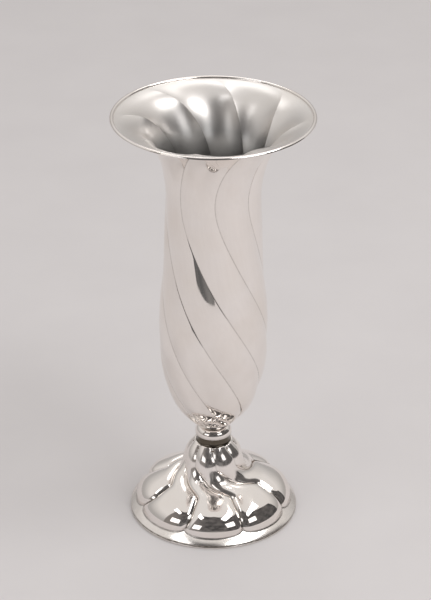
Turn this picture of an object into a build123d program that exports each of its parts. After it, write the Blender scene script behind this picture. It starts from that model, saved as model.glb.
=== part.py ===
from build123d import *
from math import hypot
import os

# A silver trumpet vase. The raised body has eight spiral lobes parted by creases, and opens
# into a flared mouth with an applied wire. It stands on turned collars and a lobed, loaded
# foot, and one stud under the body draws the stack together.
# Millimetres, +Z up, the origin on the floor under the middle of the foot, front toward -Y.

# Counts
lobe_count = 8
section_count = 61

# Foot shell and its wire
foot_radius = 45.0
foot_height = 41.3
foot_top_radius = 10.2
foot_neck_radius = 16.8
foot_neck_height = 28.0
pillow_radius = 41.6
pillow_height = 7.6
foot_wall = 0.9
foot_crease_depth = 2.5
flange_edge = 0.7
flange_rise = 4.6
flange_thickness = 1.3
flange_inset = 0.1
foot_wire_width = 2.0
foot_wire_height = 1.3
foot_wire_round = 0.5

# Collars between the foot and the body
foot_collar_height = 4.2
foot_collar_radius = 9.4
foot_collar_top_radius = 8.8
knop_height = 4.8
knop_radius = 9.7
knop_top_radius = 7.6
knop_edge = 1.6
knop_round = 0.35
neck_collar_height = 1.0
neck_collar_radius = 7.0
neck_collar_round = 0.3

# Body shell and its wire
body_height = 177.7
seat_radius = 8.4
belly_radius = 28.6
belly_height = 54.0
waist_radius = 24.9
waist_height = 136.0
mouth_radius = 52.0
body_wall = 0.9
body_crease_depth = 0.9
flare_crease_depth = 2.1
crease_lead = 294.0
crease_bend = 17.0
crease_bend_rise = 2.9
mouth_wire_width = 2.2
mouth_wire_height = 1.0

# Stud and boss under the body
stud_radius = 3.0
stud_clearance = 0.15
stud_chamfer = 0.5
stud_tail = 1.2
boss_radius = 6.0
boss_roof = 1.0
boss_clearance = 0.2
boss_end_gap = 0.3

# Loading of the foot, and the plate, washer and nut that close it
filling_gap = 0.15
plate_thickness = 0.8
plate_clearance = 0.2
well_radius = 8.0
well_height = 8.5
well_spread = 1.5
washer_radius = 6.5
washer_height = 1.0
nut_width = 10.0
nut_height = 5.0
nut_chamfer = 0.6
overrun = 1.0

# Turn of the creases about the axis, in degrees from the front toward +X
crease_bend_turn = -43.0
foot_end_turn = 22.3
foot_sway_turn = 3.4
foot_sweep_turn = -80.7
front_angle = -90.0
lobe_pitch = 360 / lobe_count

# Shares of an outline's length over which the creases fade or turn
seat_fade_shares = (0.0, 0.06)
flare_depth_shares = (0.72, 0.9)
lip_fade_shares = (0.9, 0.975)
foot_fade_shares = (0.55, 1.0)
foot_sway_shares = (0.12, 0.36)
foot_sweep_shares = (0.48, 0.836)

# Outlines from one named ring to the next, each point as its shares of the way out and up
bulb_shares = ((0.19, 0.067), (0.42, 0.162), (0.61, 0.274), (0.752, 0.404), (0.88, 0.572), (0.975, 0.795))
stem_shares = ((0.19, 0.25), (0.53, 0.43), (0.82, 0.61), (0.93, 0.79))
flare_shares = ((0.035, 0.24), (0.115, 0.45), (0.235, 0.62), (0.385, 0.765), (0.575, 0.885), (0.785, 0.962))
pillow_shares = (
    (0.016, 0.075), (0.075, 0.2), (0.19, 0.345), (0.37, 0.485), (0.56, 0.6), (0.775, 0.705), (0.931, 0.81)
)
shoulder_shares = ((0.1, 0.263), (0.3, 0.549), (0.627, 0.797))

# Heights of the stack, from the floor up
knop_base = foot_height + foot_collar_height
neck_collar_base = knop_base + knop_height
seat_height = neck_collar_base + neck_collar_height
lip_height = seat_height + body_height

# Fits that more than one piece shares
stud_bore = stud_radius + stud_clearance
collar_bore = boss_radius + boss_clearance
boss_base = knop_base + boss_end_gap
stud_top = seat_height - boss_roof
plate_base = foot_wire_height - plate_thickness
well_roof = plate_base + well_height
nut_top = well_roof - washer_height
nut_base = nut_top - nut_height


def between(start, end, shares):
    """Points on the way from one (radius, height) ring to another."""
    return [(start[0] + (end[0] - start[0]) * out, start[1] + (end[1] - start[1]) * up) for out, up in shares]


def ease(share, limits):
    """Zero before the first limit, one after the second, and a smooth rise between them."""
    way = min(max((share - limits[0]) / (limits[1] - limits[0]), 0), 1)
    return way * way * (3 - 2 * way)


def ring_point(outline, share, depth, turn):
    """A point that lies a depth inside the outline, turned about the axis from the front."""
    along = outline.tangent_at(share)
    outward = Vector(along.Z, 0, -along.X)
    point = outline.position_at(share) - outward * depth
    return point.rotate(Axis.Z, front_angle + turn)


def lobed_ring(outline, share, inset, crease_depth, turn):
    """A closed ring of arcs, each from crease to crease over the crown of a lobe. It is made outside
    a builder, which would join the arcs of a plain ring into one circle."""
    arcs = []
    for lobe in range(lobe_count):
        start = turn + lobe * lobe_pitch
        left = ring_point(outline, share, inset + crease_depth, start)
        crown = ring_point(outline, share, inset, start + lobe_pitch / 2)
        right = ring_point(outline, share, inset + crease_depth, start + lobe_pitch)
        arcs.append(ThreePointArc(left, crown, right))
    return Wire(arcs)


section_shares = [number / (section_count - 1) for number in range(section_count)]

# Outline of the body over the crowns, from the seat up to the lip
seat_ring = (seat_radius, seat_height)
belly_ring = (belly_radius, seat_height + belly_height)
waist_ring = (waist_radius, seat_height + waist_height)
lip_ring = (mouth_radius, lip_height)
with BuildLine(Plane.XZ) as below_waist:
    Spline(
        seat_ring,
        *between(seat_ring, belly_ring, bulb_shares),
        belly_ring,
        *between(belly_ring, waist_ring, stem_shares),
        waist_ring,
        tangents=((1, 1), (0, 1)),
    )
with BuildLine(Plane.XZ) as above_waist:
    Spline(waist_ring, *between(waist_ring, lip_ring, flare_shares), lip_ring, tangents=((0, 1), (4, 1)))
body_outline = Wire([below_waist.edge(), above_waist.edge()])
waist_run = below_waist.edge().length


def body_loft(inset):
    """The body's lobed form: the creases climb to one side, turn back above the waist, deepen in the
    flare and fade at both ends."""
    rings = []
    for share in section_shares:
        run = body_outline.length * share - waist_run - crease_bend_rise
        turn = crease_bend_turn + 360 * (hypot(run, crease_bend) - crease_bend) / crease_lead
        fade = ease(share, seat_fade_shares) * (1 - ease(share, lip_fade_shares))
        flare_part = (flare_crease_depth - body_crease_depth) * ease(share, flare_depth_shares)
        rings.append(lobed_ring(body_outline, share, inset, (body_crease_depth + flare_part) * fade, turn))
    return Solid.make_loft(rings)


# Outline of the foot over the crowns, from the floor up to the first collar
floor_ring = (pillow_radius, 0)
pillow_ring = (pillow_radius, pillow_height)
foot_neck_ring = (foot_neck_radius, foot_neck_height)
foot_top_ring = (foot_top_radius, foot_height)
with BuildLine(Plane.XZ) as foot_line:
    Line(floor_ring, pillow_ring)
    Spline(
        pillow_ring,
        *between(pillow_ring, foot_neck_ring, pillow_shares),
        foot_neck_ring,
        *between(foot_neck_ring, foot_top_ring, shoulder_shares),
        foot_top_ring,
        tangents=((0, 1), (-1, 1)),
    )
foot_outline = foot_line.wire()


def foot_loft(inset):
    """The foot's lobed form: the creases run out over the pillow and sweep round up the neck."""
    rings = []
    for share in section_shares:
        sway = foot_sway_turn * ease(share, foot_sway_shares)
        turn = foot_end_turn + sway + foot_sweep_turn * ease(share, foot_sweep_shares)
        fade = 1 - ease(share, foot_fade_shares)
        rings.append(lobed_ring(foot_outline, share, inset, foot_crease_depth * fade, turn))
    return Solid.make_loft(rings)


# Body shell, closed at the seat and cut level at the lip
with BuildPart() as body_shell:
    add(body_loft(0))
    add(body_loft(body_wall), mode=Mode.SUBTRACT)
body_shell.part.label = "body_shell"

# Half-round wire on the lip
wire_middle = mouth_radius - mouth_wire_width / 2
with BuildPart() as mouth_rim_wire:
    with BuildSketch(Plane.XZ):
        with BuildLine():
            ThreePointArc(
                (mouth_radius, lip_height),
                (wire_middle, lip_height + mouth_wire_height),
                (mouth_radius - mouth_wire_width, lip_height),
            )
            Line((mouth_radius - mouth_wire_width, lip_height), (mouth_radius, lip_height))
        make_face()
    revolve(axis=Axis.Z)
mouth_rim_wire.part.label = "mouth_rim_wire"

# Boss soldered under the body, with a blind threaded hole
with BuildPart() as body_boss:
    with BuildSketch(Plane.XY.offset(boss_base)):
        Circle(boss_radius)
    extrude(amount=seat_height - boss_base)
    with BuildSketch(Plane.XY.offset(boss_base)):
        Circle(stud_bore)
    extrude(amount=stud_top - boss_base, mode=Mode.SUBTRACT)
body_boss.part.label = "body_boss"

# Thin collar under the body's seat
with BuildPart() as neck_collar:
    with BuildSketch(Plane.XY.offset(neck_collar_base)):
        Circle(neck_collar_radius)
        Circle(collar_bore, mode=Mode.SUBTRACT)
    extrude(amount=neck_collar_height)
    rims = neck_collar.edges().filter_by(GeomType.CIRCLE).group_by(SortBy.RADIUS)[-1]
    fillet(rims, radius=neck_collar_round)
neck_collar.part.label = "neck_collar"

# Knop with a round shoulder above its upright edge
with BuildPart() as knop:
    with BuildSketch(Plane.XZ):
        with BuildLine():
            Polyline(
                (knop_top_radius, neck_collar_base),
                (collar_bore, neck_collar_base),
                (collar_bore, knop_base),
                (knop_radius, knop_base),
                (knop_radius, knop_base + knop_edge),
            )
            Spline(
                (knop_radius, knop_base + knop_edge),
                (knop_top_radius, neck_collar_base),
                tangents=((0, 2), (-2, 1)),
            )
        make_face()
    revolve(axis=Axis.Z)
    rim = knop.edges().filter_by(GeomType.CIRCLE).group_by(Axis.Z)[0].sort_by(SortBy.RADIUS)[-1]
    fillet(rim, radius=knop_round)
knop.part.label = "knop"

# Collar on top of the foot, spreading down to its edge
with BuildPart() as foot_collar:
    with BuildSketch(Plane.XZ):
        with BuildLine():
            Polyline(
                (foot_collar_top_radius, knop_base),
                (stud_bore, knop_base),
                (stud_bore, foot_height),
                (foot_collar_radius, foot_height),
            )
            Spline(
                (foot_collar_radius, foot_height),
                (foot_collar_top_radius, knop_base),
                tangents=((-1, 1), (0, 1)),
            )
        make_face()
    revolve(axis=Axis.Z)
foot_collar.part.label = "foot_collar"

# Foot shell: lobed form, sloping flange, hollow underside and the stud's hole
flange_radius = foot_radius - flange_inset
flange_inner_radius = pillow_radius - foot_crease_depth - foot_wall / 2
flange_edge_top = foot_wire_height + flange_edge
flange_top = flange_edge_top + flange_rise
ledge_share = (flange_thickness - flange_edge) / flange_rise
ledge_radius = flange_radius - (flange_radius - flange_inner_radius) * ledge_share
with BuildPart() as foot_shell:
    add(foot_loft(0))
    with BuildSketch(Plane.XZ):
        with BuildLine():
            Polyline(
                (flange_inner_radius, foot_wire_height),
                (flange_radius, foot_wire_height),
                (flange_radius, flange_edge_top),
                (flange_inner_radius, flange_top),
                close=True,
            )
        make_face()
    revolve(axis=Axis.Z)
    with BuildSketch(Plane.XZ):
        with BuildLine():
            Polyline(
                (0, -overrun),
                (ledge_radius, -overrun),
                (ledge_radius, foot_wire_height),
                (flange_inner_radius, flange_top - flange_thickness),
                (0, flange_top - flange_thickness),
                close=True,
            )
        make_face()
    revolve(axis=Axis.Z, mode=Mode.SUBTRACT)
    add(foot_loft(foot_wall), mode=Mode.SUBTRACT)
    with Locations((0, 0, foot_height)):
        Hole(stud_bore)
foot_shell.part.label = "foot_shell"

# Flat wire under the flange, which the vase stands on
with BuildPart() as foot_rim_wire:
    with BuildSketch():
        Circle(foot_radius)
        Circle(foot_radius - foot_wire_width, mode=Mode.SUBTRACT)
    extrude(amount=foot_wire_height)
    rims = foot_rim_wire.edges().filter_by(GeomType.CIRCLE).group_by(SortBy.RADIUS)[-1]
    fillet(rims, radius=foot_wire_round)
foot_rim_wire.part.label = "foot_rim_wire"

# Pitch loading cast inside the foot, around the stud and over the plate's well
well_top_radius = well_radius + plate_thickness
well_foot_radius = well_top_radius + well_spread
with BuildPart() as foot_filling:
    add(foot_loft(foot_wall + filling_gap))
    split(bisect_by=Plane.XY.offset(foot_wire_height), keep=Keep.TOP)
    with BuildSketch(Plane.XZ):
        with BuildLine():
            Polyline(
                (0, plate_base),
                (well_foot_radius + filling_gap, plate_base),
                (well_foot_radius + filling_gap, foot_wire_height),
                (well_top_radius + filling_gap, well_roof + plate_thickness),
                (0, well_roof + plate_thickness),
                close=True,
            )
        make_face()
    revolve(axis=Axis.Z, mode=Mode.SUBTRACT)
    with Locations((0, 0, foot_height)):
        Hole(stud_bore)
foot_filling.part.label = "foot_filling"

# Plate that closes the foot, with a raised well for the nut
plate_radius = foot_radius - foot_wire_width - plate_clearance
with BuildPart() as base_plate:
    with BuildSketch(Plane.XZ):
        with BuildLine():
            Polyline(
                (plate_radius, plate_base),
                (well_radius + well_spread, plate_base),
                (well_radius, well_roof),
                (stud_bore, well_roof),
                (stud_bore, well_roof + plate_thickness),
                (well_top_radius, well_roof + plate_thickness),
                (well_foot_radius, foot_wire_height),
                (plate_radius, foot_wire_height),
                close=True,
            )
        make_face()
    revolve(axis=Axis.Z)
base_plate.part.label = "base_plate"

# Stud through the foot and the lower collar into the boss
with BuildPart() as tie_stud:
    with BuildSketch(Plane.XY.offset(nut_base - stud_tail)):
        Circle(stud_radius)
    extrude(amount=stud_top - (nut_base - stud_tail))
    chamfer(tie_stud.edges().filter_by(GeomType.CIRCLE), length=stud_chamfer)
tie_stud.part.label = "tie_stud"

# Washer under the roof of the well
with BuildPart() as stud_washer:
    with BuildSketch(Plane.XY.offset(nut_top)):
        Circle(washer_radius)
        Circle(stud_bore, mode=Mode.SUBTRACT)
    extrude(amount=washer_height)
stud_washer.part.label = "stud_washer"

# Hexagon nut
with BuildPart() as stud_nut:
    with BuildSketch(Plane.XY.offset(nut_base)):
        RegularPolygon(radius=nut_width / 2, side_count=6, major_radius=False)
        Circle(stud_bore, mode=Mode.SUBTRACT)
    extrude(amount=nut_height)
    chamfer(stud_nut.edges().filter_by(GeomType.CIRCLE).group_by(Axis.Z)[0], length=nut_chamfer)
stud_nut.part.label = "stud_nut"

os.makedirs("parts", exist_ok=True)
pieces = [
    body_shell,
    mouth_rim_wire,
    body_boss,
    neck_collar,
    knop,
    foot_collar,
    foot_shell,
    foot_rim_wire,
    foot_filling,
    base_plate,
    tie_stud,
    stud_washer,
    stud_nut,
]
for piece in pieces:
    export_step(piece.part, f"parts/{piece.part.label}.step")
    print(piece.part.label, round(piece.part.volume), "cubic mm")
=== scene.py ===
# %% [markdown]
# A silver trumpet vase, dressed for its picture.
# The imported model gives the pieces, their places and their sizes. This script keeps that frame and
# lays a finer surface over each piece that shows, because polished silver is a mirror: it shows every
# facet and every small step in a mesh. All lengths are in metres, +Z is up and the front is -Y.

# %% Load the frame
import math

import bpy
import numpy as np
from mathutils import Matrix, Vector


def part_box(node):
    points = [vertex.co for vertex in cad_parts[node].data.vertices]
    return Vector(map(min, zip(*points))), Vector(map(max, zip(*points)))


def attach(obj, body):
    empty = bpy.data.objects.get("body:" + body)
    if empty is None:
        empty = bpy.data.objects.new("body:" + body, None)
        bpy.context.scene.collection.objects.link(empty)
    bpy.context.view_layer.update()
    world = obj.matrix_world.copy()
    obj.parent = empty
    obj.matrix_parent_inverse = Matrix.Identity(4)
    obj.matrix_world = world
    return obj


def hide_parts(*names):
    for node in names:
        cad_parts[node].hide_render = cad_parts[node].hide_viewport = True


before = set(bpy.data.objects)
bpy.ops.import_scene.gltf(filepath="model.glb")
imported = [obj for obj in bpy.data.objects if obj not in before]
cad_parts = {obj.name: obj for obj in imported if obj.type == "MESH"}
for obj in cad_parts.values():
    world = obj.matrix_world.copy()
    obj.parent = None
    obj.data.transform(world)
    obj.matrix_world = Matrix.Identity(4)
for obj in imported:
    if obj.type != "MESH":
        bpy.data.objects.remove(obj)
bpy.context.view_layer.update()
print("nodes:", ", ".join(sorted(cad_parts)))

# %% [markdown]
# The camera comes first. A long lens from a step away looks down on the vase. The focal length is given in
# picture pixels, which a lens in millimetres follows from once the sensor's height stands for the
# picture's height.

# %% Camera
picture_height = 600
focal_pixels = 2400
camera_place = (0.0, -1.1015, 0.7122)
camera_dip = 28.05
camera_yaw = 0.057

lens = bpy.data.cameras.new("camera")
lens.sensor_fit = "VERTICAL"
lens.sensor_height = 24.0
lens.lens = lens.sensor_height * focal_pixels / picture_height
camera = bpy.data.objects.new("camera", lens)
camera.location = camera_place
camera.rotation_euler = (math.radians(90 - camera_dip), 0, -math.radians(camera_yaw))
bpy.context.scene.collection.objects.link(camera)
bpy.context.scene.camera = camera
print("lens:", lens.lens, "mm on a sensor", lens.sensor_height, "mm high")

# %% [markdown]
# Every piece of the vase is a line carried round the axis, plain or with lobes. So one helper lays any
# grid of points into a mesh. Rows go along the line and columns go round, so the columns always close.
# The rows close too when the line comes back to its start, as on a ring, and a row that lies on the axis
# becomes a single point, as on the floor of the body.

# %% Lay a grid of points into a mesh
def lay_grid(name, points, ring=False, marks=None):
    """A mesh of four-sided faces between neighbouring rows and columns of points, which has one entry
    for each row, column and coordinate. With ring set the last row joins the first. Without it, the
    first and last rows lie on the axis, and each becomes one point with a fan of triangles. Marks are
    values for each row and column, which the finishes read."""
    rows, columns = points.shape[:2]
    number = np.arange(rows * columns).reshape(rows, columns)
    if not ring:
        number[0] = 0
        number[1:-1] = 1 + np.arange((rows - 2) * columns).reshape(rows - 2, columns)
        number[-1] = 1 + (rows - 2) * columns
    places = np.zeros((number.max() + 1, 3))
    places[number] = points
    upper = number if ring else number[:-1]
    lower = np.roll(number, -1, axis=0) if ring else number[1:]
    corners = np.stack([upper, lower, np.roll(lower, -1, axis=1), np.roll(upper, -1, axis=1)], axis=-1)
    strips = corners if ring else corners[1:-1]
    faces = strips.reshape(-1, 4).tolist()
    if not ring:
        faces += corners[0][:, [0, 1, 2]].tolist()
        faces += corners[-1][:, [0, 1, 3]].tolist()
    mesh = bpy.data.meshes.new(name)
    mesh.from_pydata(places.tolist(), [], faces)
    mesh.shade_smooth()
    for title, values in (marks or {}).items():
        by_point = np.zeros(len(places), np.float32)
        by_point[number] = values
        mesh.attributes.new(title, "FLOAT", "POINT").data.foreach_set("value", by_point)
    piece = bpy.data.objects.new(name, mesh)
    bpy.context.scene.collection.objects.link(piece)
    print(f"{name}: {len(places)} points, {len(faces)} faces")
    return piece


def stands_for(piece, node):
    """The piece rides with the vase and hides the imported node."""
    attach(piece, "root")
    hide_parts(node)
    return piece

# %% [markdown]
# A silversmith raises a vase over stakes until its side runs true to a drawn line. The line here is
# drawn the same way, as one springy curve through a few rings, like a thin batten bent round pins. The
# rings between two named ones are given as shares of the way, so the line follows when a size changes.

# %% Draw smooth outlines
def between(start, end, shares):
    """Points on the way from one (radius, height) ring to another, as shares of the way out and up."""
    start, end = np.array(start), np.array(end)
    return start + np.array(shares) * (end - start)


def batten(points, first_way, last_way, count=600):
    """A springy line through the points. Each stretch is a cubic, and at every inner point the two
    cubics share their slope and their bending. The slopes at the ends point along the given ways."""
    points = np.array(points)
    span = np.linalg.norm(np.diff(points, axis=0), axis=1)
    size = len(points)
    inner = np.arange(1, size - 1)
    left = np.eye(size)
    left[inner, inner - 1] = span[1:]
    left[inner, inner] = 2 * (span[:-1] + span[1:])
    left[inner, inner + 1] = span[:-1]
    rise = np.diff(points, axis=0) / span[:, None]
    right = np.zeros((size, 2))
    right[0] = np.array(first_way) / np.linalg.norm(first_way)
    right[-1] = np.array(last_way) / np.linalg.norm(last_way)
    right[inner] = 3 * (span[1:, None] * rise[:-1] + span[:-1, None] * rise[1:])
    slope = np.linalg.solve(left, right)
    knots = np.concatenate([[0], np.cumsum(span)])
    at = np.linspace(0, knots[-1], count)
    piece = np.clip(np.searchsorted(knots, at, side="right") - 1, 0, size - 2)
    width = span[piece][:, None]
    way = (at - knots[piece])[:, None] / width
    rest = 1 - way
    start_part = points[piece] * (1 + 2 * way) * rest**2 + slope[piece] * width * way * rest**2
    end_part = points[piece + 1] * way**2 * (3 - 2 * way) - slope[piece + 1] * width * way**2 * rest
    return start_part + end_part


def length_along(line):
    """The length of a line of points from its start to each point."""
    return np.concatenate([[0], np.cumsum(np.linalg.norm(np.diff(line, axis=0), axis=1))])


def on_line(line, share):
    """The points at these shares of a line's length, and the directions square to it, outward when the
    line runs up the outside of the vase."""
    run = length_along(line)
    way = np.gradient(line, run, axis=0)
    at = np.asarray(share) * run[-1]
    point = np.stack([np.interp(at, run, line[:, 0]), np.interp(at, run, line[:, 1])], axis=-1)
    slope = np.stack([np.interp(at, run, way[:, 0]), np.interp(at, run, way[:, 1])], axis=-1)
    slope /= np.linalg.norm(slope, axis=-1, keepdims=True)
    return point, np.stack([slope[..., 1], -slope[..., 0]], axis=-1)


def ease(share, first, last):
    """Zero before first, one after last, and a smooth rise between them."""
    way = np.clip((share - first) / (last - first), 0, 1)
    return way * way * (3 - 2 * way)

# %% [markdown]
# The body's outline runs from the seat over the belly and the waist to the lip. Its overall size comes
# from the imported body. Eight creases spiral up it, turn back above the waist and fade out in the flare,
# so that the lip stays a plain circle.

# %% Outline of the body
body_low, body_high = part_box("body_shell")
seat_height = body_low.z
lip_height = body_high.z
mouth_radius = body_high.x
seat_radius = 0.0084
belly_radius = 0.0286
belly_rise = 0.054
waist_radius = 0.0249
waist_rise = 0.136
body_wall = 0.0009
bulb_shares = (
    (0.19, 0.067), (0.42, 0.162), (0.61, 0.274), (0.752, 0.404), (0.88, 0.572), (0.975, 0.795)
)
stem_shares = ((0.19, 0.25), (0.53, 0.43), (0.82, 0.61), (0.93, 0.79))
flare_shares = (
    (0.035, 0.24), (0.115, 0.45), (0.235, 0.62), (0.385, 0.765), (0.575, 0.885), (0.785, 0.962)
)

seat_ring = (seat_radius, seat_height)
belly_ring = (belly_radius, seat_height + belly_rise)
waist_ring = (waist_radius, seat_height + waist_rise)
lip_ring = (mouth_radius, lip_height)
bulb_points = [
    [seat_ring],
    between(seat_ring, belly_ring, bulb_shares),
    [belly_ring],
    between(belly_ring, waist_ring, stem_shares),
    [waist_ring],
]
below_waist = batten(np.vstack(bulb_points), (1, 1), (0, 1))
flare_points = [[waist_ring], between(waist_ring, lip_ring, flare_shares), [lip_ring]]
above_waist = batten(np.vstack(flare_points), (0, 1), (4, 1))
body_line = np.vstack([below_waist, above_waist[1:]])
body_length = length_along(body_line)[-1]
waist_run = length_along(below_waist)[-1]
print(f"body outline: {body_length * 1000:.1f} mm long, the waist at {waist_run * 1000:.1f} mm")

# %% [markdown]
# The lobes are soft cushions between sharp valleys. Across one lobe the phase runs from -1 to 1, and the
# sheet drops from the crown by the crease's depth times a power of the phase. A lobe meets its neighbour
# in a clean valley. Columns are drawn together toward the valleys, where the surface turns fastest, and
# the very bottom of the valley is rounded as a punch leaves it.

# %% Lobes round the axis
lobe_count = 8
columns_per_lobe = 28
front_angle = -90.0

step = np.arange(columns_per_lobe) / columns_per_lobe * 2 - 1
lobe_phase = np.sin(step * math.pi / 2)
phase = np.tile(lobe_phase, lobe_count)
lobe_number = np.repeat(np.arange(lobe_count), columns_per_lobe)
column_angle = (lobe_number + (phase + 1) / 2) * 360 / lobe_count


def valley_drop(fullness, rounding):
    """The share of a crease's depth that each column drops by: the phase's size to the power of the
    fullness, so a larger power gives a fuller lobe. The last bit before the valley is rounded."""
    to_valley = np.sqrt((1 - np.abs(phase)) ** 2 + rounding**2)
    return np.clip(1 + rounding - to_valley, 0, 1) ** fullness


def chased_line(width):
    """One in the valley and nearly nothing a width away from it, as the punch's line lies there."""
    return np.exp(-(((1 - np.abs(phase)) / width) ** 2))


def turned(radius, height, angle):
    """Points at a radius and a height, turned about the axis by an angle in degrees from the front."""
    around = np.radians(front_angle + angle)
    return np.stack([radius * np.cos(around), radius * np.sin(around), height + 0 * around], axis=-1)


def lobed_wall(line, share, inward, turn):
    """A wall that follows the line and goes round in lobes. Each point is the line's point, moved inward
    square to the line, then turned about the axis. Share and turn have one entry for each row, or for
    each row and column, and inward has one for each row and column."""
    point, outward = on_line(line, share)
    radius = point[..., 0] - outward[..., 0] * inward
    height = point[..., 1] - outward[..., 1] * inward
    return turned(radius, height, column_angle + turn)

# %% [markdown]
# The body is one closed surface: the floor inside, up the inner wall, over the lip and down the outside
# to the seat. A real one is raised from a single disc, so there is no seam to show. The sheet is thinned
# a little toward the lip, where it runs out under the wire. A pair of numbers below gives the shares of
# the outline's length, from the seat to the lip, between which a change runs.

# %% Values of the body
crease_depth = 0.0009
flare_crease_depth = 0.0021
flare_deepening = (0.72, 0.9)
seat_fade = (0.0, 0.06)
flare_fade = (0.91, 0.985)
line_depth = 0.00008
crease_lead = 0.294
crease_bend = 0.017
crease_bend_rise = 0.0029
crease_bend_turn = -43.0
lip_wall = 0.00053
lip_thinning = (0.9, 1.0)
lip_bevel = 0.0023
# The crease lines inside and out are darkened by these shares: tarnish in the chased line and painted
# shade along it.
inner_crease_tarnish_and_shade = 0.25
outer_crease_tarnish_and_shade = 0.45
lip_satin_and_shade = 0.3
satin_and_shade_fade = (0.76, 0.9)
outer_rows = 210
inner_rows = 170
body_drop = valley_drop(fullness=2.2, rounding=0.02)
body_line_mark = chased_line(width=0.02)
print("body creases:", lobe_count, "with", outer_rows, "rows outside and", inner_rows, "inside")

# %% Body
def crease_turn(share):
    """The turn of the creases in degrees: a hyperbola along the line, which climbs evenly far from the
    bend and turns back at it."""
    run = body_length * share - waist_run - crease_bend_rise
    return crease_bend_turn + 360 * (np.hypot(run, crease_bend) - crease_bend) / crease_lead


def crease_fade(share):
    """One along the creases, and a smooth end at the seat and in the flare."""
    return ease(share, *seat_fade) * (1 - ease(share, *flare_fade))


def body_inward(share, wall):
    """How far the sheet lies inside the outline: its wall, the lobes and the chased line."""
    depth = crease_depth + (flare_crease_depth - crease_depth) * ease(share, *flare_deepening)
    return wall + crease_fade(share) * (depth * body_drop + line_depth * body_line_mark)


outer_share = np.linspace(1, 0, outer_rows)[:, None]
outer_inward = body_inward(outer_share, 0)
outer_wall = lobed_wall(body_line, outer_share, outer_inward, crease_turn(outer_share))
lip_share = 1 - lip_bevel / body_length
inner_share = np.linspace(0, lip_share, inner_rows)[:, None]
inner_inset = body_wall + (lip_wall - body_wall) * ease(inner_share, *lip_thinning)
inner_inward = body_inward(inner_share, inner_inset)
inner_wall = lobed_wall(body_line, inner_share, inner_inward, crease_turn(inner_share))
floor_middle = inner_wall[:1] * (0, 0, 1)
seat_middle = outer_wall[-1:] * (0, 0, 1)
body_points = np.concatenate([floor_middle, inner_wall, outer_wall, seat_middle])
# Dark tone along the crease lines: tarnish with painted shade.
body_tarnish_and_shade = np.zeros(body_points.shape[:2])
body_tarnish_and_shade[1 : inner_rows + 1] = inner_crease_tarnish_and_shade * crease_fade(inner_share) * body_line_mark
body_tarnish_and_shade[inner_rows + 1 : -1] = outer_crease_tarnish_and_shade * crease_fade(outer_share) * body_line_mark
# Inside the body the satin mark also paints shade: it is one deep down and 0.3 at the lip, and the finish
# turns it into a grey painted shade as well as into roughness.
body_satin_and_shade = np.zeros(body_points.shape[:2])
body_satin_and_shade[1 : inner_rows + 1] = lip_satin_and_shade + (1 - lip_satin_and_shade) * (1 - ease(inner_share, *satin_and_shade_fade))
body_satin_and_shade[0] = 1
body = lay_grid("vase_body", body_points, marks={"tarnish_and_shade": body_tarnish_and_shade, "satin_and_inner_shade": body_satin_and_shade})
stands_for(body, "body_shell")

# %% [markdown]
# Turned pieces share one helper: a profile, drawn as a closed loop of points, goes once round the axis.
# Corners that a lathe and polishing would leave soft are drawn as small arcs.

# %% Turned rings
ring_columns = 160
ring_corner = 40


def arc(middle, radius, first, last, count=9):
    """Points on an arc about a middle, from the first angle to the last, in degrees from outward."""
    angle = np.radians(np.linspace(first, last, count))
    return np.stack([middle[0] + radius * np.cos(angle), middle[1] + radius * np.sin(angle)], axis=-1)


def turned_ring(name, node, profile, tarnish_and_shade):
    """A closed profile of radius and height, carried once round the axis. The profile goes down the
    outside and back up the inside, so that the faces point outward. Tarnish gives each stretch of the
    profile its share of the dark tone, which is partly the film that polishing leaves in corners and
    partly painted shade in recesses and under other pieces."""
    tone_share = np.concatenate([np.full(len(stretch), share) for stretch, share in zip(profile, tarnish_and_shade)])
    profile = np.vstack(profile)
    angle = np.arange(ring_columns) * 360 / ring_columns
    points = turned(profile[:, :1], profile[:, 1:], angle[None, :])
    tone_share = np.repeat(tone_share[:, None], ring_columns, axis=1)
    piece = lay_grid(name, points, ring=True, marks={"tarnish_and_shade": tone_share})
    piece.data.set_sharp_from_angle(angle=math.radians(ring_corner))
    return stands_for(piece, node)

# %% [markdown]
# The lip is stiffened by a half-round wire, soldered along the edge of the sheet with its flat side down.
# Its profile is the upper half of an ellipse, from the inside of the mouth to the outside.

# %% Wire on the lip
wire_low, wire_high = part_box("mouth_rim_wire")
wire_width = 0.0022
wire_height = wire_high.z - wire_low.z
wire_middle = (wire_high.x - wire_width / 2, wire_low.z)
wire_top = arc((0, 0), 1, 180, 0, count=25) * (wire_width / 2, wire_height) + wire_middle
mouth_wire = turned_ring("mouth_wire", "mouth_rim_wire", [wire_top], [0.0])

# %% [markdown]
# Between the body and the foot sits a small stack: a narrow neck ring, a knop with a round shoulder and an
# upright edge, and a hollow collar. On a real vase they are cast, turned and soldered. The polishing mop
# never reaches the neck ring and the collar, so they keep a dark film. Their dark tone also holds painted
# shade: the neck ring lies in the shadow of the bulb, the collar in the shadow of the knop, and the knop's
# under edge is painted darker too.

# %% Neck ring
# The joint share darkens faces that meet another piece, with film and with painted shade.
joint_tarnish_and_shade = 0.9
collar_bore = 0.0062
neck_low, neck_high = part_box("neck_collar")
neck_round = 0.0003
neck_radius = neck_high.x - neck_round
neck_profile = [
    [(collar_bore, neck_high.z)],
    arc((neck_radius, neck_high.z - neck_round), neck_round, 90, 0),
    arc((neck_radius, neck_low.z + neck_round), neck_round, 0, -90),
    [(collar_bore, neck_low.z)],
]
neck_collar = turned_ring("neck_ring", "neck_collar", neck_profile, [joint_tarnish_and_shade] * 4)

# %% Knop
knop_low, knop_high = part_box("knop")
knop_top_radius = 0.0076
knop_edge = 0.0016
knop_round = 0.00035
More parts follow.
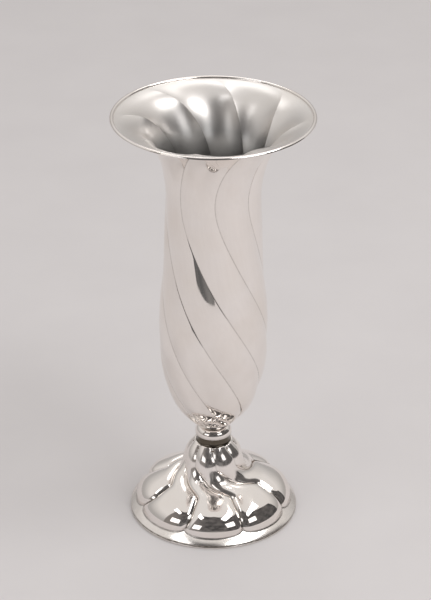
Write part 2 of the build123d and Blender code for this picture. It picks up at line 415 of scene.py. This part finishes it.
# From the top down: dark where the knop meets the neck ring, bright on the shoulder, painted shade on the
# under edge, and joint film and shade at the bottom.
knop_tarnish_and_shade = [0.8, 0.0, 0.35, joint_tarnish_and_shade]
knop_shoulder = (knop_high.x, knop_low.z + knop_edge)
shoulder_line = batten([(knop_top_radius, knop_high.z), knop_shoulder], (2, -1), (0, -1), count=40)
knop_profile = [
    [(collar_bore, knop_high.z)],
    shoulder_line,
    arc((knop_high.x - knop_round, knop_low.z + knop_round), knop_round, 0, -90),
    [(collar_bore, knop_low.z)],
]
knop = turned_ring("turned_knop", "knop", knop_profile, knop_tarnish_and_shade)

# %% Collar under the knop
stud_bore = 0.00315
collar_low, collar_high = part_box("foot_collar")
collar_top_radius = 0.0088
# The hollow of the collar is darkened past full tarnish: film plus a painted shadow under the knop.
hollow_tarnish_and_shade = 1.3
collar_tarnish_and_shade = [joint_tarnish_and_shade, hollow_tarnish_and_shade, joint_tarnish_and_shade]
collar_foot = (collar_high.x, collar_low.z)
collar_hollow = batten([(collar_top_radius, collar_high.z), collar_foot], (0, -1), (1, -1), count=30)
collar_profile = [[(stud_bore, collar_high.z)], collar_hollow, [(stud_bore, collar_low.z)]]
foot_collar = turned_ring("foot_ring", "foot_collar", collar_profile, collar_tarnish_and_shade)

# %% [markdown]
# The foot is chased: its lobes are pushed up from below into cushions, and the flat flange around them
# is left alone. Each column of the grid runs down the lobe until it meets the flange's cone, then out
# along the cone. So the scalloped foot line is worked out by the surface itself and never drawn.

# %% Outline of the foot
foot_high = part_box("foot_shell")[1]
foot_wire_low, foot_wire_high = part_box("foot_rim_wire")
foot_height = foot_high.z
flange_radius = foot_high.x
flange_floor = foot_wire_high.z
foot_top_radius = 0.0102
foot_neck_radius = 0.0168
foot_neck_height = 0.028
pillow_radius = 0.0416
pillow_height = 0.0076
foot_wall_points = 60
pillow_shares = (
    (0.016, 0.075), (0.075, 0.2), (0.19, 0.345), (0.37, 0.485), (0.56, 0.6), (0.775, 0.705), (0.931, 0.81)
)
shoulder_shares = ((0.1, 0.263), (0.3, 0.549), (0.627, 0.797))

pillow_ring = (pillow_radius, pillow_height)
foot_neck_ring = (foot_neck_radius, foot_neck_height)
foot_top_ring = (foot_top_radius, foot_height)
foot_rings = [
    [pillow_ring],
    between(pillow_ring, foot_neck_ring, pillow_shares),
    [foot_neck_ring],
    between(foot_neck_ring, foot_top_ring, shoulder_shares),
    [foot_top_ring],
]
foot_curve = batten(np.vstack(foot_rings), (0, 1), (-1, 1))
foot_wall_rise = np.linspace(0, pillow_height, foot_wall_points)
foot_wall_line = np.stack([np.full(foot_wall_points, pillow_radius), foot_wall_rise], axis=-1)
foot_line = np.vstack([foot_wall_line[:-1], foot_curve])
foot_length = length_along(foot_line)[-1]
print(f"foot outline: {foot_length * 1000:.1f} mm long")

# %% [markdown]
# The chaser set the creases out by eye. Each one ends at the flange a few degrees off an even spacing and
# sways a little over its cushions, and each lobe is stretched between its own two creases. Up the neck
# the creases come together evenly, and the deep valleys turn into shallow ones between round ribs. The
# pairs of numbers are shares of the foot's outline, from the floor up to the collar.

# %% Creases of the foot
foot_crease_depth = 0.0025
neck_crease_depth = 0.0009
foot_end_turn = 22.3
foot_sweep = -62.3
neck_sweep = -8.2
crease_end = np.array((0.9, 1.0, 14.0, 6.0, -1.0, -6.0, -4.9, -0.6))
crease_sway = np.array((-0.5, 0.5, -3.5, 0.0, 6.0, 11.6, 9.4, 4.2))
sway_reach = (0.056, 0.33)
sweep_reach = (0.48, 0.803)
neck_sweep_reach = (0.803, 1.0)
neck_reach = (0.5, 0.88)
dome_share = 0.6
dome_drop = valley_drop(fullness=2.6, rounding=0.02)
edge_drop = valley_drop(fullness=12.0, rounding=0.02)
cushion_drop = dome_share * dome_drop + (1 - dome_share) * edge_drop
rib_drop = valley_drop(fullness=2.0, rounding=0.03)
foot_line_mark = chased_line(width=0.025)


def stretched(values):
    """A value set for each crease, carried evenly across each lobe from its left crease to its right."""
    left = values[lobe_number]
    right = values[(lobe_number + 1) % lobe_count]
    return left + (right - left) * (phase + 1) / 2


def foot_turn(share):
    """The turn of each column: its own end and sway over the cushions, then swept back round the neck."""
    own = stretched(crease_end) + stretched(crease_sway) * ease(share, *sway_reach)
    sweep = ease(share, *sweep_reach)
    neck_turn = neck_sweep * ease(share, *neck_sweep_reach)
    return foot_end_turn + own * (1 - sweep) + foot_sweep * sweep + neck_turn


def foot_depth(share):
    """The depth of the foot's creases, which are shallower round the neck."""
    return foot_crease_depth + (neck_crease_depth - foot_crease_depth) * ease(share, *neck_reach)


def foot_inward(share):
    """How far the lobes drop below the outline, full cushions below and round ribs on the neck."""
    neck = ease(share, *neck_reach)
    return foot_depth(share) * (cushion_drop * (1 - neck) + rib_drop * neck)


crease_angle = foot_end_turn + np.arange(lobe_count) * 360 / lobe_count + crease_end
print("foot creases end at", crease_angle.round(1), "degrees")

# %% [markdown]
# Around the cushions runs a plain flange that slopes down to the edge. Each column starts where its lobe
# meets the slope, turns out through a small hollow, crosses the flange, which is domed by a hair's
# breadth, and rounds over the edge to the ledge that the wire sits under.

# %% Flange of the foot
foot_wall = 0.0009
flange_edge = 0.0007
flange_rise = 0.0046
flange_thickness = 0.0013
cove_reach = 0.0008
flange_dome = 0.00006
edge_reach = 0.0003
bend_rows = 8
slope_rows = 13


def bend(start, corner, end, way):
    """A parabola from start to end that leaves start and reaches end along the lines to the corner."""
    return start * (1 - way) ** 2 + corner * 2 * way * (1 - way) + end * way**2


flange_inner = pillow_radius - foot_crease_depth - foot_wall / 2
flange_edge_top = flange_floor + flange_edge
flange_slope = flange_rise / (flange_radius - flange_inner)
meet_radius = pillow_radius - foot_crease_depth * cushion_drop
meet_height = flange_edge_top + (flange_radius - meet_radius) * flange_slope
down_slope = np.array((1, -flange_slope)) / math.hypot(1, flange_slope)
flange_angle = column_angle + foot_end_turn + stretched(crease_end)

meet = np.stack([meet_radius, meet_height], axis=-1)
cove_top = meet + (0, cove_reach)
cove_foot = meet + down_slope * cove_reach
edge_corner = np.array((flange_radius, flange_edge_top))
edge_start = edge_corner - down_slope * edge_reach
edge_end = edge_corner - (0, edge_reach)
way = np.linspace(0, 1, bend_rows + 1)[1:, None, None]
cove = bend(cove_top, meet, cove_foot, way)
out = np.linspace(0, 1, slope_rows + 1)[1:, None, None]
slope = cove_foot + (edge_start - cove_foot) * out + np.array((0, flange_dome)) * 4 * out * (1 - out)
rim = bend(edge_start, edge_corner, edge_end, way) + 0 * meet
ledge_share = (flange_thickness - flange_edge) / flange_rise
ledge_radius = flange_radius - (flange_radius - flange_inner) * ledge_share
ledge = np.array([[(flange_radius, flange_floor)], [(ledge_radius, flange_floor)]]) + 0 * meet
flange_section = np.concatenate([cove, slope, rim, ledge])
flange = turned(flange_section[..., 0], flange_section[..., 1], flange_angle)
print("flange rows:", len(flange_section))

# %% [markdown]
# The foot is one closed surface too: down the lobes, out over the flange, back under it and up inside the
# sheet to the bore for the stud. The creases, the hollow along the flange and its edge are darkened,
# partly by film that stays there and partly by painted shade. The mop reaches the neck and the flange less
# well than the cushions, so those are a little duller.

# %% Foot
lobe_rows = 170
under_rows = 60
foot_corner = 50
# Shares of the dark tone over the flange: film and painted shade in the hollow, a light film on the slope,
# and film and painted shade over the edge and the ledge under it.
cove_tarnish_and_shade = 0.55
slope_film = 0.08
edge_tarnish_and_shade = 0.9
neck_satin = 0.1
neck_satin_reach = (0.3, 0.5)
flange_satin = 0.12

lobe_end = (meet_height + cove_reach) / foot_length
down = np.linspace(0, 1, lobe_rows)[:, None]
lobe_share = 1 + (lobe_end - 1) * down
lobes = lobed_wall(foot_line, lobe_share, foot_inward(lobe_share), foot_turn(lobe_share))
inside_share = (meet_height - flange_thickness) / foot_length
up = np.linspace(0, 1, under_rows)[:, None]
under_share = inside_share + (1 - inside_share) * up
under = lobed_wall(foot_line, under_share, foot_wall + foot_inward(under_share), foot_turn(under_share))
bore_low = turned(np.full((1, 1), stud_bore), under[-1:, :1, 2], flange_angle[None, :])
bore_high = turned(np.full((1, 1), stud_bore), np.full((1, 1), foot_height), flange_angle[None, :])
foot_points = np.concatenate([lobes, flange, under, bore_low, bore_high])

# Dark tone in the foot's crease lines, weaker up the neck: tarnish with painted shade.
foot_tarnish_and_shade = np.zeros(foot_points.shape[:2])
foot_tarnish_and_shade[:lobe_rows] = foot_depth(lobe_share) / foot_crease_depth * foot_line_mark
flange_tarnish_and_shade = np.concatenate([
    cove_tarnish_and_shade * np.sin(np.linspace(0, math.pi, len(cove) + 2))[1:-1],
    np.full(len(slope), slope_film),
    np.linspace(slope_film, edge_tarnish_and_shade, len(rim)),
    np.full(len(ledge), edge_tarnish_and_shade),
])
foot_tarnish_and_shade[lobe_rows : lobe_rows + len(flange)] = flange_tarnish_and_shade[:, None]
foot_satin = np.zeros(foot_points.shape[:2])
foot_satin[:lobe_rows] = neck_satin * ease(lobe_share, *neck_satin_reach)
foot_satin[lobe_rows : lobe_rows + len(flange)] = flange_satin
foot = lay_grid("lobed_foot", foot_points, ring=True, marks={"tarnish_and_shade": foot_tarnish_and_shade, "satin_and_inner_shade": foot_satin})
foot.data.set_sharp_from_angle(angle=math.radians(foot_corner))
stands_for(foot, "foot_shell")

# %% [markdown]
# A flat wire with rounded edges is soldered under the flange, and the vase stands on it.

# %% Wire under the flange
foot_wire_width = 0.002
foot_wire_round = 0.0005
# Shares of the dark tone round the wire from the top: joint film and shade, painted shade under the
# flange's edge, a light film, and painted shade where it stands on the floor.
foot_wire_tarnish_and_shade = [joint_tarnish_and_shade, 0.25, 0.1, 0.6]
standing_radius = foot_wire_high.x
wire_edge = standing_radius - foot_wire_round
foot_wire_profile = [
    [(standing_radius - foot_wire_width, foot_wire_high.z)],
    arc((wire_edge, foot_wire_high.z - foot_wire_round), foot_wire_round, 90, 0),
    arc((wire_edge, foot_wire_low.z + foot_wire_round), foot_wire_round, 0, -90),
    [(standing_radius - foot_wire_width, foot_wire_low.z)],
]
foot_wire = turned_ring("foot_wire", "foot_rim_wire", foot_wire_profile, foot_wire_tarnish_and_shade)

# %% [markdown]
# A finish is a small tree of shader nodes. Most of them need the same few things: a node with some inputs
# set, a blend of two colours, and a grain that is stretched along the way the metal was worked. These
# helpers add them, so that each finish below reads as a list of what one would see on the metal.

# %% Helpers for finishes
def new_finish(name):
    """A material with its node tree, its surface shader and the piece's own coordinates."""
    finish = bpy.data.materials.new(name)
    finish.use_nodes = True
    tree = finish.node_tree
    place = tree.nodes.new("ShaderNodeTexCoord").outputs["Object"]
    return finish, tree, tree.nodes["Principled BSDF"], place


def fill(tree, socket, value):
    """Sets an input, or links it when the value is another node's output."""
    if isinstance(value, bpy.types.NodeSocket):
        tree.links.new(value, socket)
    else:
        socket.default_value = value


def blend(tree, share, first, second):
    """The colour that lies a share of the way from the first colour to the second."""
    node = tree.nodes.new("ShaderNodeMix")
    node.data_type = "RGBA"
    fill(tree, node.inputs["Factor"], share)
    fill(tree, node.inputs["A"], first)
    fill(tree, node.inputs["B"], second)
    return node.outputs["Result"]


def spread(tree, value, from_low, from_high, to_low, to_high):
    """A value moved from one range to another, and held inside it."""
    node = tree.nodes.new("ShaderNodeMapRange")
    fill(tree, node.inputs["Value"], value)
    limits = {"From Min": from_low, "From Max": from_high, "To Min": to_low, "To Max": to_high}
    for name, number in limits.items():
        node.inputs[name].default_value = number
    return node.outputs["Result"]


def combine(tree, operation, first, second):
    """Two values put together, such as their sum or their product."""
    node = tree.nodes.new("ShaderNodeMath")
    node.operation = operation
    fill(tree, node.inputs[0], first)
    fill(tree, node.inputs[1], second)
    return node.outputs["Value"]


def grain(tree, place, size, detail=3.0, stretch=(1, 1, 1)):
    """Cloudy noise from 0 to 1. Its patches are about one size across, stretched by a factor each way."""
    mapping = tree.nodes.new("ShaderNodeMapping")
    tree.links.new(place, mapping.inputs["Vector"])
    mapping.inputs["Scale"].default_value = tuple(1 / (size * part) for part in stretch)
    noise = tree.nodes.new("ShaderNodeTexNoise")
    noise.inputs["Scale"].default_value = 1.0
    noise.inputs["Detail"].default_value = detail
    tree.links.new(mapping.outputs["Vector"], noise.inputs["Vector"])
    return noise.outputs["Fac"]


def relief(tree, height, depth, under=None):
    """A bumped normal: the height times a depth in metres, over the relief below it."""
    node = tree.nodes.new("ShaderNodeBump")
    node.inputs["Distance"].default_value = depth
    tree.links.new(height, node.inputs["Height"])
    if under is not None:
        tree.links.new(under, node.inputs["Normal"])
    return node.outputs["Normal"]


def mark(tree, name):
    """The value that a piece's mesh carries under a name, or zero where it carries none."""
    node = tree.nodes.new("ShaderNodeAttribute")
    node.attribute_name = name
    return node.outputs["Fac"]


# %% [markdown]
# Old silver that has been polished for a century is bright but not perfect. A warm film comes and goes
# over it, hammer work leaves the sheet a hair's breadth uneven, the mop leaves fine lines that run round
# the axis, and the creases and joints are dark, partly with film that stays there and partly with painted
# shade. Inside, where no mop reaches, the surface is satin, and a painted shade makes it greyer with
# depth. The marks laid into the meshes say where the dark tone of film and painted shade goes, and where
# the satin and the painted inner shade are.

# %% Silver
clean_tone = (0.955, 0.915, 0.885, 1)
filmed_tone = (0.915, 0.862, 0.815, 1)
# A grey that paints the shade deep inside the body; the satin mark blends it in.
inner_shade_tone = (0.48, 0.475, 0.468, 1)
# A dark warm tone, both for the tarnish in creases and joints and for the painted shade laid over it in
# creases, recesses and under pieces.
tarnish_and_shade_tone = (0.13, 0.112, 0.088, 1)
film_patch = 0.022
speckle_size = 0.0022
hammer_size = 0.013
hammer_depth = 0.000035
mop_line_size = 0.0004
mop_line_depth = 0.0000015

silver, tree, shader, place = new_finish("polished_silver")
shader.inputs["Metallic"].default_value = 1
tone_share = spread(tree, grain(tree, place, film_patch, detail=4.0), 0.35, 0.72, 0.0, 1.0)
clean = blend(tree, tone_share, clean_tone, filmed_tone)
satin_and_inner_shade = mark(tree, "satin_and_inner_shade")
# Painted shade: above a satin mark of 0.12 the silver is greyed toward that tone, most on the floor inside
# the body.
depth = spread(tree, satin_and_inner_shade, 0.12, 0.6, 0.0, 1.0)
inner_shaded = blend(tree, depth, clean, inner_shade_tone)
speckle = spread(tree, grain(tree, place, speckle_size), 0.3, 0.7, 0.65, 1.15)
# The tarnish mark blends the silver toward that dark tone: part tarnish, part painted shade.
tarnish_and_shade = combine(tree, "MULTIPLY", mark(tree, "tarnish_and_shade"), speckle)
fill(tree, shader.inputs["Base Color"], blend(tree, tarnish_and_shade, inner_shaded, tarnish_and_shade_tone))
mopped = spread(tree, tone_share, 0.0, 1.0, 0.03, 0.07)
rougher = spread(tree, satin_and_inner_shade, 0.0, 0.3, 0.0, 0.3)
dulled = combine(tree, "ADD", mopped, rougher)
stained = spread(tree, tarnish_and_shade, 0.0, 1.0, 0.0, 0.2)
fill(tree, shader.inputs["Roughness"], combine(tree, "ADD", dulled, stained))
hammered = relief(tree, grain(tree, place, hammer_size, detail=1.0), hammer_depth)
mop_lines = grain(tree, place, mop_line_size, stretch=(40, 40, 1))
lined = relief(tree, mop_lines, mop_line_depth, hammered)
fill(tree, shader.inputs["Normal"], lined)
silver_pieces = (body, mouth_wire, neck_collar, knop, foot_collar, foot, foot_wire)
for piece in silver_pieces:
    piece.data.materials.append(silver)
print(silver.name, "on", ", ".join(piece.name for piece in silver_pieces))

# %% [markdown]
# Underneath, a spun sheet closes the foot, and a turned stud, washer and nut hold the stack. Both are
# brass. The spinning and turning tools leave rings, so the grain here is a noise of the distance from the
# axis alone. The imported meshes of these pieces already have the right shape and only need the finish.

# %% Brass
def ringed_brass(name, bright, dull, ring_size, roughness):
    """Brass with tool rings: noise of the distance from the axis, plus patches where it has gone dull."""
    finish, tree, shader, place = new_finish(name)
    shader.inputs["Metallic"].default_value = 1
    flat = tree.nodes.new("ShaderNodeVectorMath")
    flat.operation = "MULTIPLY"
    flat.inputs[1].default_value = (1, 1, 0)
    tree.links.new(place, flat.inputs[0])
    out = tree.nodes.new("ShaderNodeVectorMath")
    out.operation = "LENGTH"
    tree.links.new(flat.outputs["Vector"], out.inputs[0])
    rings = tree.nodes.new("ShaderNodeTexNoise")
    rings.noise_dimensions = "1D"
    rings.inputs["Scale"].default_value = 1 / ring_size
    rings.inputs["Detail"].default_value = 3.0
    tree.links.new(out.outputs["Value"], rings.inputs["W"])
    patch = spread(tree, grain(tree, place, 0.012, detail=4.0), 0.35, 0.7, 0.0, 1.0)
    worn = combine(tree, "MULTIPLY", patch, spread(tree, rings.outputs["Fac"], 0.3, 0.7, 0.6, 1.0))
    fill(tree, shader.inputs["Base Color"], blend(tree, worn, bright, dull))
    fill(tree, shader.inputs["Roughness"], spread(tree, worn, 0.0, 1.0, roughness, roughness + 0.18))
    fill(tree, shader.inputs["Normal"], relief(tree, rings.outputs["Fac"], 0.00003))
    return finish


def give(finish, names):
    """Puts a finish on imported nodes, in place of the plain one that they came with."""
    for name in names:
        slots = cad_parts[name].data.materials
        slots.clear()
        slots.append(finish)
    print(finish.name, "on", ", ".join(names))


plate_brass = ringed_brass("spun_brass", (0.72, 0.58, 0.33, 1), (0.5, 0.38, 0.2, 1), 0.0012, 0.32)
give(plate_brass, ["base_plate"])
turned_brass = ringed_brass("turned_brass", (0.7, 0.55, 0.3, 1), (0.46, 0.34, 0.18, 1), 0.0005, 0.22)
give(turned_brass, ["body_boss", "tie_stud", "stud_washer", "stud_nut"])

# %% [markdown]
# The weight in the foot is pitch and plaster, poured in hot. It is brown black, dull, and lumpy where the
# plaster gathered. Nothing of it shows in the picture, but the piece is there and so it has its finish.

# %% Pitch
pitch_tone = (0.045, 0.03, 0.02, 1)
plaster_tone = (0.2, 0.145, 0.1, 1)

pitch, tree, shader, place = new_finish("poured_pitch")
lumps = grain(tree, place, 0.006, detail=6.0)
fill(tree, shader.inputs["Base Color"], blend(tree, lumps, pitch_tone, plaster_tone))
fill(tree, shader.inputs["Roughness"], spread(tree, lumps, 0.3, 0.7, 0.45, 0.85))
fill(tree, shader.inputs["Normal"], relief(tree, lumps, 0.0006))
give(pitch, ["foot_filling"])

# %% [markdown]
# The vase stands on a sheet of pale paper, faintly warm and almost even. A soft mottling keeps it from
# looking like a computer's white.

# %% Paper floor
floor_half = 3.0
paper_tone = (0.6, 0.578, 0.582, 1)
pale_paper_tone = (0.65, 0.628, 0.63, 1)

floor_mesh = bpy.data.meshes.new("floor")
floor_corners = np.array([(-1, -1, 0), (1, -1, 0), (1, 1, 0), (-1, 1, 0)]) * floor_half
floor_mesh.from_pydata(floor_corners.tolist(), [], [(0, 1, 2, 3)])
floor = bpy.data.objects.new("floor", floor_mesh)
bpy.context.scene.collection.objects.link(floor)
paper, tree, shader, place = new_finish("floor_paper")
shader.inputs["Roughness"].default_value = 0.9
shader.inputs["Specular IOR Level"].default_value = 0.1
mottle = grain(tree, place, 0.06, detail=6.0)
fill(tree, shader.inputs["Base Color"], blend(tree, mottle, paper_tone, pale_paper_tone))
floor_mesh.materials.append(paper)
print("floor:", floor_half * 2, "m square")

# %% [markdown]
# Silver looks like whatever stands around it. In the picture the creases and cushions pick up a dark room
# in front, past the near edge of the paper, with the photographer's lights in it. A dark curved screen
# stands for that room. Its foot follows the slanting edge of the paper, and its top is lower at the sides.
# Only mirror rays see it, so it takes no light from the floor and stays out of every picture.

# %% Shape of the dark screen
screen_columns = 60
screen_rows = 12
screen_distance = 1.6
paper_edge_distance = 0.605
paper_edge_azimuth = -27.7
edge_begins = (-33, -27)
edge_ends = (20, 26)
first_elevation = 8.0
top_azimuths = (-70, -60, -45, -28, 0, 25, 60, 90, 112)
top_elevations = (60, 66, 68, 69, 71, 67, 60, 48, 34)

azimuth = np.linspace(top_azimuths[0], top_azimuths[-1], screen_columns)
top = np.interp(azimuth, top_azimuths, top_elevations)
from_edge = np.cos(np.radians(azimuth - paper_edge_azimuth))
past_edge = 1 - ease(azimuth, *edge_begins) + ease(azimuth, *edge_ends)
paper_radius = paper_edge_distance / np.maximum(from_edge, 0.5)
edge_radius = paper_radius * (1 - past_edge) + screen_distance * past_edge
climb = np.linspace(0, 1, screen_rows)[1:, None]
elevation = np.radians(first_elevation + (top - first_elevation) * climb)
screen_radius = np.vstack([edge_radius, screen_distance * np.cos(elevation)])
screen_height = np.vstack([0 * edge_radius, screen_distance * np.sin(elevation)])
screen_points = turned(screen_radius, screen_height, azimuth)
number = np.arange(screen_rows * screen_columns).reshape(screen_rows, screen_columns)
screen_faces = np.stack([number[:-1, :-1], number[1:, :-1], number[1:, 1:], number[:-1, 1:]], axis=-1)
screen_mesh = bpy.data.meshes.new("dark_screen")
screen_mesh.from_pydata(screen_points.reshape(-1, 3).tolist(), [], screen_faces.reshape(-1, 4).tolist())
screen = bpy.data.objects.new("dark_screen", screen_mesh)
bpy.context.scene.collection.objects.link(screen)
screen.visible_camera = False
screen.visible_diffuse = False
screen.visible_shadow = False
print("screen from", top_azimuths[0], "to", top_azimuths[-1], "degrees")

# %% Felt of the screen
dark_felt = (0.09, 0.09, 0.093, 1)
left_felt = (0.34, 0.325, 0.31, 1)
fold_felt = (0.36, 0.35, 0.34, 1)

felt, tree, shader, place = new_finish("screen_felt")
shader.inputs["Roughness"].default_value = 1.0
sides = tree.nodes.new("ShaderNodeSeparateXYZ")
tree.links.new(place, sides.inputs["Vector"])
leftward = spread(tree, sides.outputs["X"], -0.4, -1.1, 0.0, 1.0)
base_tone = blend(tree, leftward, dark_felt, left_felt)
folds = spread(tree, grain(tree, place, 0.35), 0.38, 0.72, 0.0, 0.6)
fill(tree, shader.inputs["Base Color"], blend(tree, folds, base_tone, fold_felt))
screen_mesh.materials.append(felt)
print(felt.name, "on", screen.name)

# %% [markdown]
# Five soft boxes light the vase. Two low ones and two high ones stand in front, left and right, and give
# the pairs of small bright patches on every cushion. The high right one is the strongest and sends the
# soft shadow to the left. The last stands high behind the vase and lights the paper and the far lip.

# %% Soft boxes
aim = (0, 0, 0.1)


def softbox(name, azimuth, elevation, distance, width, height, power):
    """A soft light, seen from a point on the vase's axis at an azimuth from the front toward +X and an
    elevation, and turned to face that point."""
    around, up = math.radians(azimuth), math.radians(elevation)
    way = np.array((math.sin(around) * math.cos(up), -math.cos(around) * math.cos(up), math.sin(up)))
    lamp = bpy.data.lights.new(name, "AREA")
    lamp.shape = "RECTANGLE"
    lamp.size = width
    lamp.size_y = height
    lamp.energy = power
    light = bpy.data.objects.new(name, lamp)
    light.location = way * distance + aim
    light.rotation_euler = (math.radians(90 - elevation), 0, around)
    bpy.context.scene.collection.objects.link(light)


softbox("left_low_softbox", -43, 21, 1.2, 0.58, 0.4, 1.05)
softbox("left_high_softbox", -64, 58, 1.3, 0.46, 0.2, 0.6)
softbox("right_low_softbox", 43, 28, 1.2, 0.58, 0.4, 1.1)
softbox("right_high_softbox", 66, 60, 1.3, 1.0, 0.28, 5.2)
softbox("back_softbox", 178, 56, 1.4, 0.9, 0.34, 1.5)

# %% [markdown]
# What no lamp, paper or screen fills is the pale room itself, dimmer near the floor and brighter above.

# %% Pale room
low_glow = (0.42, 0.407, 0.398, 1)
high_glow = (0.74, 0.718, 0.7, 1)

room = bpy.data.worlds.new("pale_room")
bpy.context.scene.world = room
room.use_nodes = True
tree = room.node_tree
toward = tree.nodes.new("ShaderNodeTexCoord").outputs["Generated"]
split = tree.nodes.new("ShaderNodeSeparateXYZ")
tree.links.new(toward, split.inputs["Vector"])
brighter_up = spread(tree, split.outputs["Z"], 0.15, 0.55, 0.0, 1.0)
glow = blend(tree, brighter_up, low_glow, high_glow)
fill(tree, tree.nodes["Background"].inputs["Color"], glow)
bpy.context.scene.view_settings.view_transform = "Standard"
print("lights:", ", ".join(lamp.name for lamp in bpy.data.lights))
